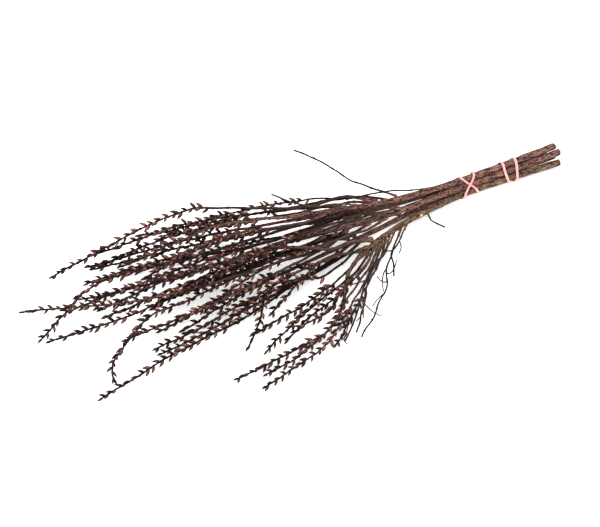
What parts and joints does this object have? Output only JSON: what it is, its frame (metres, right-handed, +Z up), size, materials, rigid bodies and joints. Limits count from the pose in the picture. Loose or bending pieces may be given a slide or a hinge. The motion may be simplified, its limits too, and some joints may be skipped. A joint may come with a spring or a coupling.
{
  "type": "bundle of twigs",
  "caption": "Lying bundle of budded twigs: straight stems tied near their cut ends with rubber bands, fanning out into thin shoots set with pointed buds.",
  "frame": {"origin": "on the surface the bundle lies on, under the middle of its overall box", "axes": "+X along the bundle towards the cut ends of the stems, +Z up, the tips towards -X"},
  "size_m": [0.8092, 0.3104, 0.1079],
  "materials": {
    "stem_bark": "dull pinkish-brown bark with pale specks and dark creases",
    "olive_bark": "dull olive-tan bark",
    "shoot_bark": "dark grey-brown twig bark with reddish-brown, slightly glossy buds",
    "rubber": "matt light pink rubber"
  },
  "bodies": {
    "root": {"rubber_band_inner": "rubber", "rubber_band_outer": "rubber", "shoot_back_1": "shoot_bark", "shoot_back_2": "shoot_bark", "shoot_back_3": "shoot_bark", "shoot_back_4": "shoot_bark", "shoot_back_5": "shoot_bark", "shoot_front_1": "shoot_bark", "shoot_front_10": "shoot_bark", "shoot_front_11": "shoot_bark", "shoot_front_12": "shoot_bark", "shoot_front_13": "shoot_bark", "shoot_front_14": "shoot_bark", "shoot_front_15": "shoot_bark", "shoot_front_16": "shoot_bark", "shoot_front_2": "shoot_bark", "shoot_front_3": "shoot_bark", "shoot_front_4": "shoot_bark", "shoot_front_5": "shoot_bark", "shoot_front_6": "shoot_bark", "shoot_front_7": "shoot_bark", "shoot_front_8": "shoot_bark", "shoot_front_9": "shoot_bark", "shoot_middle_1": "shoot_bark", "shoot_middle_10": "shoot_bark", "shoot_middle_2": "shoot_bark", "shoot_middle_3": "shoot_bark", "shoot_middle_4": "shoot_bark", "shoot_middle_5": "shoot_bark", "shoot_middle_6": "shoot_bark", "shoot_middle_7": "shoot_bark", "shoot_middle_8": "shoot_bark", "shoot_middle_9": "shoot_bark", "shoot_rear_1": "shoot_bark", "shoot_rear_2": "shoot_bark", "shoot_rear_3": "shoot_bark", "shoot_rear_4": "shoot_bark", "shoot_top_1": "shoot_bark", "shoot_top_2": "shoot_bark", "shoot_top_3": "shoot_bark", "shoot_top_4": "shoot_bark", "shoot_top_5": "shoot_bark", "shoot_top_6": "shoot_bark", "shoot_top_7": "shoot_bark", "shoot_top_8": "shoot_bark", "shoot_under_1": "shoot_bark", "shoot_under_2": "shoot_bark", "shoot_under_3": "shoot_bark", "shoot_under_4": "shoot_bark", "shoot_under_5": "shoot_bark", "shoot_under_6": "shoot_bark", "shoot_under_7": "shoot_bark", "shoot_under_8": "shoot_bark", "shoot_under_9": "shoot_bark", "stem_back": "stem_bark", "stem_front": "olive_bark", "stem_middle": "stem_bark", "stem_rear": "stem_bark", "stem_top": "stem_bark", "stem_under": "stem_bark"}
  },
  "joints": []
}
